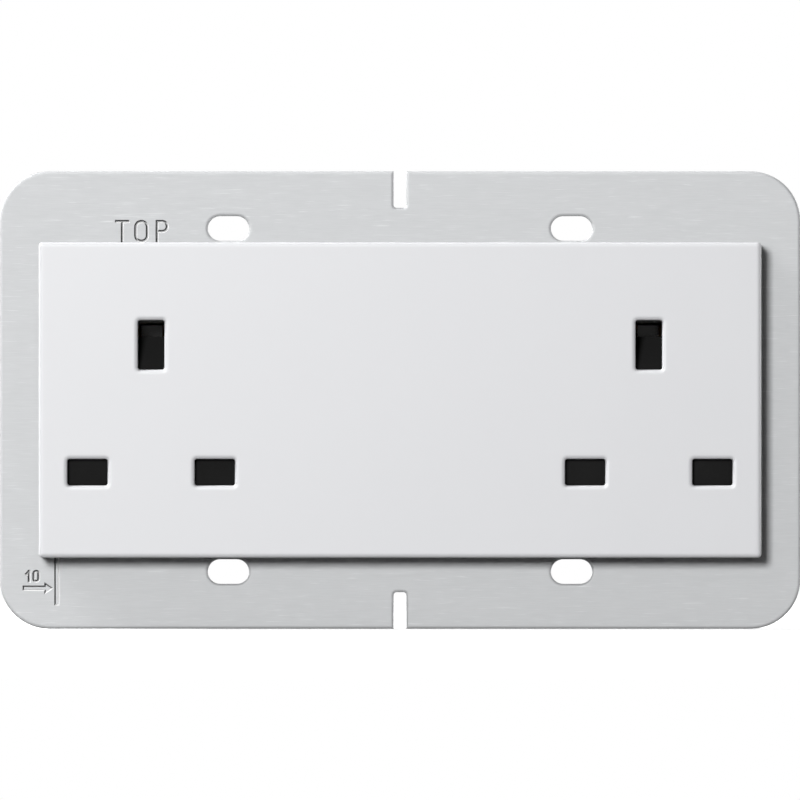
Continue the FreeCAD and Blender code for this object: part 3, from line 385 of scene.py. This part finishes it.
def metal_stains():
    """Stains where a noise of the given size is high, and a speckle that is finer by the speckle ratio."""
    group, given, result = start_group("metal_stains", {"Size": 4 * MM}, ["Stain", "Speckle"])
    scale = calculate(group, "DIVIDE", 1.0, given["Size"])
    fine = calculate(group, "MULTIPLY", scale, SPECKLE_RATIO)
    stain = mask_between(group, noise(group, given["Vector"], scale, detail=5.0), *STAIN_BAND)
    speckle = noise(group, given["Vector"], fine, detail=2.0)
    feed(group, result, {"Stain": stain, "Speckle": speckle})
    return group


EFFECTS = {make.__name__: make() for make in (brushed_lines, moulded_grain, metal_stains)}


def use_effect(tree, name, place, **sizes):
    """Places a shared effect in a material, with its own sizes in metres, and gives back its outputs."""
    node = add(tree, "ShaderNodeGroup", node_tree=EFFECTS[name])
    feed(tree, node, {"Vector": place, **sizes})
    return node.outputs


print("shared effects", sorted(EFFECTS))

# %% [markdown]
# The plate is steel sheet, brushed sideways. The brush leaves streaks about a tenth of a millimetre
# wide and some millimetres long, and here and there a brighter scratch. They show as faint lines of
# lighter and darker grey, change how sharply the light is thrown back, and can just be felt, so one
# mask drives all three.
# The marks' grooves get painted light and shade: the walls on their upper and left sides, which face
# away from the lamps, are painted dark as painted shade, the others are painted white as a painted
# highlight, and the groove's floor keeps the steel. A second mask finds the walls: they lie at the left
# end of the plate, clear of its border, and between the face and the groove's floor. Their normals,
# which turn with the part, tell which side they are on.
# Punching also rolls the rims over a little further than the solid shows, so the bevel node bends
# the normals beside every edge, but not at the marks, which are finer than that.

# %% Brushed steel
STREAK_LENGTH = 3 * MM
STREAK_WIDTH = 0.13 * MM
STREAK_DEPTH = 0.001 * MM
LINE_SHARE = 0.3
SCRATCH_SHARE = 0.7
STEEL_TONES = ((0.578, 0.588, 0.597), (0.665, 0.675, 0.685))
STEEL_ROUGHNESS = (0.54, 0.40)
STEEL_METALLIC = 0.1
STEEL_GLOSS = 0.25
MARK_MIDDLE = (-52.25 * MM, -1.265 * MM, 0.0)
MARK_REACH = (14.25 * MM, 0.225 * MM, 36.2 * MM)
PAINTED_WALL_LIGHT_AND_SHADE = ((0.95, 0.95, 0.95), (0.04, 0.04, 0.04))
RIGHT_AND_DOWN = (1, 0, -1)
TURN_BAND = (-0.2, 0.2)
RIM_RADIUS = 0.4 * MM

tree, shader, place = start_finish("brushed_plate")
brush = use_effect(tree, "brushed_lines", place, Length=STREAK_LENGTH, Width=STREAK_WIDTH)
faint = calculate(tree, "MULTIPLY", brush["Lines"], LINE_SHARE)
streaks = calculate(tree, "MULTIPLY_ADD", brush["Scratches"], SCRATCH_SHARE, faint)
steel = two_tones(tree, streaks, *STEEL_TONES)

axes = add(tree, "ShaderNodeSeparateXYZ", {"Vector": place}).outputs
near_x, near_y, near_z = (calculate(tree, "COMPARE", *span) for span in zip(axes, MARK_MIDDLE, MARK_REACH))
marked = calculate(tree, "MULTIPLY", near_x, near_z)
wall = calculate(tree, "MULTIPLY", marked, near_y)
# Painted shade and painted highlight: groove walls that face right and down are painted dark, the others white.
turned = calculate_vector(tree, "DOT_PRODUCT", place.node.outputs["Normal"], RIGHT_AND_DOWN)["Value"]
painted_wall_light_and_shade = two_tones(tree, mask_between(tree, turned, *TURN_BAND), *PAINTED_WALL_LIGHT_AND_SHADE)

# A Mix node keeps its two colours at inputs 6 and 7, and the mixed one at output 2.
mix = add(tree, "ShaderNodeMix", {0: wall, 6: steel, 7: painted_wall_light_and_shade}, data_type="RGBA")
rims = soft_edges(tree, spread(tree, marked, RIM_RADIUS, 0.0))
feed(tree, shader, {
    "Base Color": mix.outputs[2],
    "Roughness": spread(tree, streaks, *STEEL_ROUGHNESS),
    "Normal": relief(tree, streaks, STREAK_DEPTH, rims),
    "Metallic": STEEL_METALLIC,
    "Specular IOR Level": STEEL_GLOSS,
})
print("brushed steel with streaks", STREAK_LENGTH / MM, "mm long")

# %% [markdown]
# The cover is a glossy white thermoset. It looks plain, but the polish of the mould isn't perfect:
# the gloss wanders a little, the white has faint cloudy patches, and the face is very slightly wavy.
# A moulding also sinks a little beside its edges as it cools, which widens the bright and dark lines
# along them, so the bevel node bends the normals here too.

# %% White plastic
COVER_GRAIN = 0.4 * MM
COVER_TONES = ((0.738, 0.743, 0.764), (0.768, 0.773, 0.794))
COVER_ROUGHNESS = (0.31, 0.37)
COVER_WAVE = 0.01 * MM
SINK_RADIUS = 0.6 * MM

tree, shader, place = start_finish("white_cover")
clouds = use_effect(tree, "moulded_grain", place, Size=COVER_GRAIN)["Mottle"]
feed(tree, shader, {
    "Base Color": two_tones(tree, clouds, *COVER_TONES),
    "Roughness": spread(tree, clouds, *COVER_ROUGHNESS),
    "Normal": relief(tree, clouds, COVER_WAVE, soft_edges(tree, SINK_RADIUS)),
})
print("white plastic, sunk within", SINK_RADIUS / MM, "mm of its edges")

# %% [markdown]
# The shutters and the plate behind them are black mouldings. Black shows through the pin holes, and
# a dull grain keeps it from mirroring the room. The upper half of a shutter is the ramp that every
# earth pin rubs along, and its slope lies in deeper shade, so there the black is a little greyer:
# partly from wear, and partly painted light that lifts the shade.

# %% Black plastic
BLACK_GRAIN = 0.15 * MM
BLACK_ROUGHNESS = (0.5, 0.7)
BLACK_RELIEF = 0.008 * MM
BLACK_GLOSS = 0.06
GRAIN_SHARE = 0.4
RAMP_FOOT = (2 * MM, 4 * MM)


def black_plastic(name, dark, light, wear_and_light):
    """A black between two greys: its grain makes it lighter, and so do wear and painted light, above the ramp's
    foot.
    """
    tree, shader, place = start_finish(name)
    grain = use_effect(tree, "moulded_grain", place, Size=BLACK_GRAIN)
    height = add(tree, "ShaderNodeSeparateXYZ", {"Vector": place}).outputs["Z"]
    # Wear and painted light: above the ramp's foot the black is lifted, partly to make up for the shade on the
    # slope.
    wear_and_painted_light = mask_between(tree, height, *RAMP_FOOT, top=wear_and_light)
    tone = calculate(tree, "MULTIPLY_ADD", grain["Grain"], GRAIN_SHARE, wear_and_painted_light)
    feed(tree, shader, {
        "Base Color": two_tones(tree, tone, (dark,) * 3, (light,) * 3),
        "Roughness": spread(tree, grain["Mottle"], *BLACK_ROUGHNESS),
        "Normal": relief(tree, grain["Grain"], BLACK_RELIEF),
        "Specular IOR Level": BLACK_GLOSS,
    })


black_plastic("black_shutter", dark=0.005, light=0.0215, wear_and_light=0.6)
black_plastic("dark_moulding", dark=0.018, light=0.045, wear_and_light=0.0)
print("black plastic in two shades")

# %% [markdown]
# The housing at the back is never seen once the socket is on the wall, so its mould isn't polished:
# it keeps the fine pits of spark erosion, which make it dull, and the grey is a little uneven.

# %% Grey plastic
PIT_SIZE = 0.22 * MM
PIT_DEPTH = 0.02 * MM
GREY_TONES = ((0.50, 0.50, 0.485), (0.58, 0.58, 0.565))
GREY_ROUGHNESS = (0.48, 0.66)

tree, shader, place = start_finish("grey_moulding")
pits = use_effect(tree, "moulded_grain", place, Size=PIT_SIZE)
feed(tree, shader, {
    "Base Color": two_tones(tree, pits["Mottle"], *GREY_TONES),
    "Roughness": spread(tree, pits["Grain"], *GREY_ROUGHNESS),
    "Normal": relief(tree, pits["Grain"], PIT_DEPTH),
})
print("grey plastic with pits of", PIT_SIZE / MM, "mm")

# %% [markdown]
# Bars, pillars and rivets are brass. Handling leaves brownish stains on it, and rolling or turning
# leaves fine lines, which are long on a bar and short on a screw. The stain darkens the colour and
# dulls the shine in the same places.

# %% Brass
BRASS_TONES = ((0.78, 0.58, 0.27), (0.52, 0.35, 0.14))
BRASS_ROUGHNESS = (0.24, 0.46)
BRASS_STAIN = 5 * MM
BRASS_LINE_WIDTH = 0.12 * MM
BRASS_LINE_DEPTH = 0.004 * MM


def stained_brass(name, line_length):
    """Brass with stains, and with lines of the given length along X."""
    tree, shader, place = start_finish(name)
    stain = use_effect(tree, "metal_stains", place, Size=BRASS_STAIN)["Stain"]
    lines = use_effect(tree, "brushed_lines", place, Length=line_length, Width=BRASS_LINE_WIDTH)["Lines"]
    feed(tree, shader, {
        "Base Color": two_tones(tree, stain, *BRASS_TONES),
        "Roughness": spread(tree, stain, *BRASS_ROUGHNESS),
        "Normal": relief(tree, lines, BRASS_LINE_DEPTH),
        "Metallic": 1.0,
    })


stained_brass("brass", line_length=6 * MM)
stained_brass("terminal_screw", line_length=1 * MM)
print("brass, rolled and turned")

# %% [markdown]
# The clips are bronze. Colour and gloss change by depth, from the mouth to the root: the mouths are
# bright and a little rough, and the root is smooth and painted almost black, as painted shade deep in
# the socket. Seen through a pin hole, the root is as dark as the shutter.

# %% Darkened bronze
CLIP_AND_ROOT_SHADE_TONES = ((0.62, 0.38, 0.20), (0.017, 0.017, 0.0168))
CLIP_ROUGHNESS = (0.30, 0.15)
CLIP_RELIEF = 0.003 * MM
CLIP_STAIN = 3 * MM
STAIN_SHARE = 0.5
MOUTH_TO_ROOT = (3 * MM, 8 * MM)

tree, shader, place = start_finish("bronze_clip")
stains = use_effect(tree, "metal_stains", place, Size=CLIP_STAIN)
depth = add(tree, "ShaderNodeSeparateXYZ", {"Vector": place}).outputs["Y"]
# Painted shade: towards the root the bronze is painted almost black, deeper into the socket.
root = mask_between(tree, depth, *MOUTH_TO_ROOT)
patches = calculate(tree, "MULTIPLY", stains["Stain"], STAIN_SHARE)
skin = calculate(tree, "MAXIMUM", root, patches)
feed(tree, shader, {
    "Base Color": two_tones(tree, skin, *CLIP_AND_ROOT_SHADE_TONES),
    "Roughness": spread(tree, skin, *CLIP_ROUGHNESS),
    "Normal": relief(tree, stains["Speckle"], CLIP_RELIEF),
    "Metallic": 1.0,
})
print("bronze, black from", MOUTH_TO_ROOT[1] / MM, "mm behind the plate")

# %% [markdown]
# The housing screws are steel with a zinc plating, slightly blue and cloudy. The springs are drawn
# wire, plated the same way, but a little darker and smoother.

# %% Plated steel
ZINC_TONES = ((0.55, 0.57, 0.60), (0.70, 0.72, 0.75))
WIRE_TONES = ((0.50, 0.50, 0.50), (0.66, 0.66, 0.66))
PLATING_STAIN = 1.2 * MM
PLATING_RELIEF = 0.004 * MM
DULLING = 0.15


def plated_steel(name, tones, roughness):
    """Speckled steel that is rougher by the dulling where it is stained."""
    tree, shader, place = start_finish(name)
    stains = use_effect(tree, "metal_stains", place, Size=PLATING_STAIN)
    feed(tree, shader, {
        "Base Color": two_tones(tree, stains["Speckle"], *tones),
        "Roughness": spread(tree, stains["Stain"], roughness, roughness + DULLING),
        "Normal": relief(tree, stains["Speckle"], PLATING_RELIEF),
        "Metallic": 1.0,
    })


plated_steel("zinc_screw", ZINC_TONES, roughness=0.3)
plated_steel("spring_wire", WIRE_TONES, roughness=0.22)
print("plated steel for screws and springs")

# %% [markdown]
# Each part names its finish in the record that came with it, so a finish is given out by that name
# and no part is forgotten.

# %% Dress the parts
def dress(piece, slot):
    """Gives every material slot of the piece the finish that the record names."""
    if not piece.material_slots:
        piece.data.materials.append(None)
    for place in piece.material_slots:
        place.material = finishes[slot]


subparts = frame["record"]["subparts"]
for row in subparts:
    dress(nodes[row["node"]], row["material_slot"])
print("dressed", len(subparts), "parts in", len(finishes), "finishes")

# %% [markdown]
# New pieces are tubes with closed ends: rings of points, one after the other, joined by four-sided
# faces, with a fan of triangles at each end. A spring and a screw are both such a tube, and only the
# rings differ, so one function makes the mesh.

# %% Closed tubes
def tube_mesh(name, rings):
    """Joins an array of rings, by ring, point and axis, into a closed skin with a fan at each end."""
    count, around, _ = rings.shape
    points = np.vstack([rings.reshape(-1, 3), rings[0].mean(0), rings[-1].mean(0)])
    index = np.arange(count * around).reshape(count, around)
    after = np.roll(index, -1, axis=1)
    quads = np.stack([index[:-1], after[:-1], after[1:], index[1:]], axis=-1).reshape(-1, 4)
    first = np.stack([np.full(around, count * around), after[0], index[0]], axis=-1)
    last = np.stack([np.full(around, count * around + 1), index[-1], after[-1]], axis=-1)
    mesh = bpy.data.meshes.new(name)
    mesh.from_pydata(points.tolist(), [], quads.tolist() + first.tolist() + last.tolist())
    mesh.polygons.foreach_set("use_smooth", np.ones(len(mesh.polygons), bool))
    return mesh


def add_piece(name, mesh, body, node, slot):
    """A finished piece that rides on a body and stands for a node, in the finish of the record's slot."""
    piece = bpy.data.objects.new(name, mesh)
    bpy.context.scene.collection.objects.link(piece)
    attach(piece, body)
    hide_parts(node)
    dress(piece, slot)
    return piece


bodies = frame["record"]["behaviour"]["bodies"]
body_of_node = {node: body for body, members in bodies.items() for node in members}

# %% [markdown]
# A shutter's spring is wound from thin wire. Its last turn at each end lies flat against the one
# before it, so that it stands square, and the turns between are open. The coil's height therefore
# isn't even: the rise per turn is small at the ends and large in the middle, and adding it up gives
# the height. The coil fills the height of the part it stands for, and doesn't shorten when the
# shutter goes down.

# %% Shutter springs
WIRE_RADIUS = 0.18 * MM
OPEN_TURNS = 7
CLOSED_TURNS = 1
ALL_TURNS = OPEN_TURNS + 2 * CLOSED_TURNS
HALF_TURN = 0.5
STEPS_PER_TURN = 40
WIRE_SIDES = 12


def coil_rings(low, high):
    """Circles of wire along a coil. At turn t the wire's middle lies at the coil's radius, at the angle
    of t turns, and at the height that the rises up to t add up to. The turns open smoothly, from half a
    turn before the end of the closed ones to half a turn after it."""
    centre = (low + high) / 2
    coil_radius = (high.x - low.x) / 2 - WIRE_RADIUS
    turns = np.linspace(0, ALL_TURNS, ALL_TURNS * STEPS_PER_TURN + 1)
    from_end = np.minimum(turns, turns[-1] - turns)
    openness = np.clip(from_end - CLOSED_TURNS + HALF_TURN, 0, 1)
    openness = openness * openness * (3 - 2 * openness)
    closed_rise = 2 * WIRE_RADIUS * 2 * CLOSED_TURNS
    open_rise = high.z - low.z - 2 * WIRE_RADIUS - closed_rise
    added = np.concatenate([[0], np.cumsum((openness[1:] + openness[:-1]) / 2)])
    height = low.z + WIRE_RADIUS + closed_rise * turns / turns[-1] + open_rise * added / added[-1]
    angle = 2 * np.pi * turns
    outward = np.stack([np.cos(angle), np.sin(angle), np.zeros_like(angle)], axis=-1)
    middle = np.array([centre.x, centre.y, 0]) + coil_radius * outward
    middle[:, 2] = height
    along = np.gradient(middle, axis=0)
    along /= np.linalg.norm(along, axis=1, keepdims=True)
    across = np.cross(along, outward)
    around = (np.arange(WIRE_SIDES) * 2 * np.pi / WIRE_SIDES)[None, :, None]
    circle = np.cos(around) * outward[:, None, :] + np.sin(around) * across[:, None, :]
    return middle[:, None, :] + WIRE_RADIUS * circle


for joint in frame["joints"]:
    for pressed in joint.get("deforming_nodes", []):
        node = pressed["node"]
        low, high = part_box(node)
        coil = tube_mesh(node + "_coil", coil_rings(low, high))
        spring = add_piece(node + "_coil", coil, body_of_node[node], node, "spring_wire")
        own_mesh(spring)

# %% [markdown]
# A terminal screw has no head: it is a threaded rod with a slot across its end. The thread is a
# surface over height and angle, whose radius swings between crest and root once per pitch while the
# angle goes round once, which is what makes it climb.

# %% Screw thread
THREAD_PITCH = 0.6 * MM
THREAD_DEPTH = 0.3 * MM
END_TAPER = 0.45 * MM
RINGS_PER_PITCH = 12
THREAD_SIDES = 48
FLANK_RISE = 1.25
CREST_FLAT = 0.1


def thread_rings(low, high):
    """Rings along Y. The radius is the crest's, less the depth times a flat-topped wave of height and
    angle, and no more than a taper leaves at both ends."""
    centre = (low + high) / 2
    crest = (high.x - low.x) / 2
    length = high.y - low.y
    heights = np.linspace(0, length, int(length / THREAD_PITCH * RINGS_PER_PITCH) + 1)
    turns = np.arange(THREAD_SIDES) * 2 * np.pi / THREAD_SIDES
    along, angle = np.meshgrid(heights, turns, indexing="ij")
    wave = np.abs(2 * np.mod(along / THREAD_PITCH - angle / (2 * np.pi), 1) - 1)
    groove = np.clip(FLANK_RISE * wave - CREST_FLAT, 0, 1)
    to_end = np.minimum(along, length - along)
    taper = np.clip(END_TAPER - to_end, 0, None)
    radius = np.minimum(crest - THREAD_DEPTH * groove, crest - taper)
    side = centre.x + radius * np.cos(angle)
    return np.stack([side, low.y + along, centre.z - radius * np.sin(angle)], axis=-1)


print("thread climbs", THREAD_PITCH / MM, "mm a turn")

# %% [markdown]
# The driver's slot is cut out with a block afterwards, because a grid of rings can't follow its
# straight walls. The cut leaves sharp edges, so the shading is smooth only where faces meet at a
# small angle.

# %% Terminal screws
SLOT_WIDTH = 0.8 * MM
SLOT_DEPTH = 1.2 * MM
SHARP_ANGLE = math.radians(35)


def block_mesh(name, low, high):
    """A block between two corners, as four corner points at each of two depths."""
    ring = np.array([[low[0], low[2]], [high[0], low[2]], [high[0], high[2]], [low[0], high[2]]])
    rings = np.stack([np.insert(ring, 1, depth, axis=1) for depth in (high[1], low[1])])
    return tube_mesh(name, rings)


def cut_slot(mesh, low, high):
    """Cuts the driver's slot across the rear end of a screw and gives back the cut mesh."""
    centre = (low + high) / 2
    reach = high.x - low.x
    half = SLOT_WIDTH / 2
    block_low = (centre.x - reach, high.y - SLOT_DEPTH, centre.z - half)
    block_high = (centre.x + reach, high.y + SLOT_DEPTH, centre.z + half)
    cutter = bpy.data.objects.new("slot_block", block_mesh("slot_block", block_low, block_high))
    blank = bpy.data.objects.new("screw_blank", mesh)
    for item in (cutter, blank):
        bpy.context.scene.collection.objects.link(item)
    cut = blank.modifiers.new("slot", "BOOLEAN")
    cut.operation = "DIFFERENCE"
    cut.object = cutter
    cut.solver = "EXACT"
    result = bpy.data.meshes.new_from_object(blank.evaluated_get(bpy.context.evaluated_depsgraph_get()))
    for item in (cutter, blank):
        bpy.data.objects.remove(item)
    return result


screw_nodes = [row["node"] for row in subparts if row["material_slot"] == "terminal_screw"]
for node in screw_nodes:
    low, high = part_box(node)
    mesh = cut_slot(tube_mesh(node + "_thread", thread_rings(low, high)), low, high)
    mesh.set_sharp_from_angle(angle=SHARP_ANGLE)
    mesh.name = node + "_thread"
    screw = add_piece(node + "_thread", mesh, body_of_node[node], node, "terminal_screw")
    print(screw.name, "faces", len(screw.data.polygons))

# %% [markdown]
# The dressed socket must be no larger than the solids it was built on, so its size is printed here,
# as the solids' size was at the start.

# %% The size at the end
low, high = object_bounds()
print("size in mm", [round(side / MM, 2) for side in high - low])
